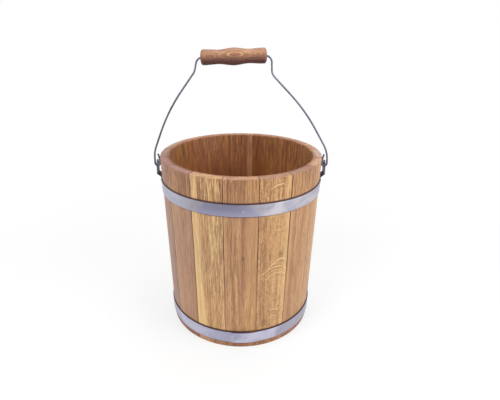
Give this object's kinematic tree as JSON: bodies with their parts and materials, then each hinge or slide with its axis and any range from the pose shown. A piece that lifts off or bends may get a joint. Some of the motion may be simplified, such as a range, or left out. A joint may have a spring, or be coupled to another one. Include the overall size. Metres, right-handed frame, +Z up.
{
  "type": "wooden bucket",
  "caption": "Tapered coopered wooden bucket with two galvanised hoops, riveted ears and a swinging wire bail that carries a turned wooden grip.",
  "frame": {"origin": "centre of the foot, on the surface the bucket stands on", "axes": "+Z up along the bucket's axis, +X through the right ear, -Y towards the front with the lap of the lower hoop"},
  "size_m": [0.302, 0.2764, 0.4743],
  "materials": {
    "stave_wood": "planed hardwood staves, each with its own tone, lightly oiled",
    "board_wood": "planed hardwood boards, darker from the shade inside the tub",
    "galvanised_steel": "hot-dip galvanised strip, dull with a faint spangle",
    "bail_wire": "drawn galvanised wire, dull grey",
    "grip_wood": "turned hardwood with a thin satin finish"
  },
  "bodies": {
    "bucket": {"stave_01": "stave_wood", "stave_02": "stave_wood", "stave_03": "stave_wood", "stave_04": "stave_wood", "stave_05": "stave_wood", "stave_06": "stave_wood", "stave_07": "stave_wood", "stave_08": "stave_wood", "stave_09": "stave_wood", "stave_10": "stave_wood", "stave_11": "stave_wood", "stave_12": "stave_wood", "stave_13": "stave_wood", "stave_14": "stave_wood", "stave_15": "stave_wood", "stave_16": "stave_wood", "bottom_board_left": "board_wood", "bottom_board_middle": "board_wood", "bottom_board_right": "board_wood", "bottom_dowels": "board_wood", "upper_hoop": "galvanised_steel", "upper_hoop_rivets": "galvanised_steel", "lower_hoop": "galvanised_steel", "lower_hoop_rivets": "galvanised_steel", "hoop_nails": "galvanised_steel", "left_ear": "galvanised_steel", "right_ear": "galvanised_steel", "ear_rivets": "galvanised_steel"},
    "bail": {"bail": "bail_wire"},
    "grip": {"grip": "grip_wood"}
  },
  "joints": [
    {"name": "bail_swing", "type": "hinge", "parent": "bucket", "child": "bail", "pos_m": [0, 0, 0.2752], "axis": [1, 0, 0], "range_deg": [-110, 110]},
    {"name": "grip_spin", "type": "hinge", "parent": "bail", "child": "grip", "pos_m": [-0.0125, 0, 0.46016], "axis": [0.9995, 0, 0.0332], "continuous": true}
  ]
}
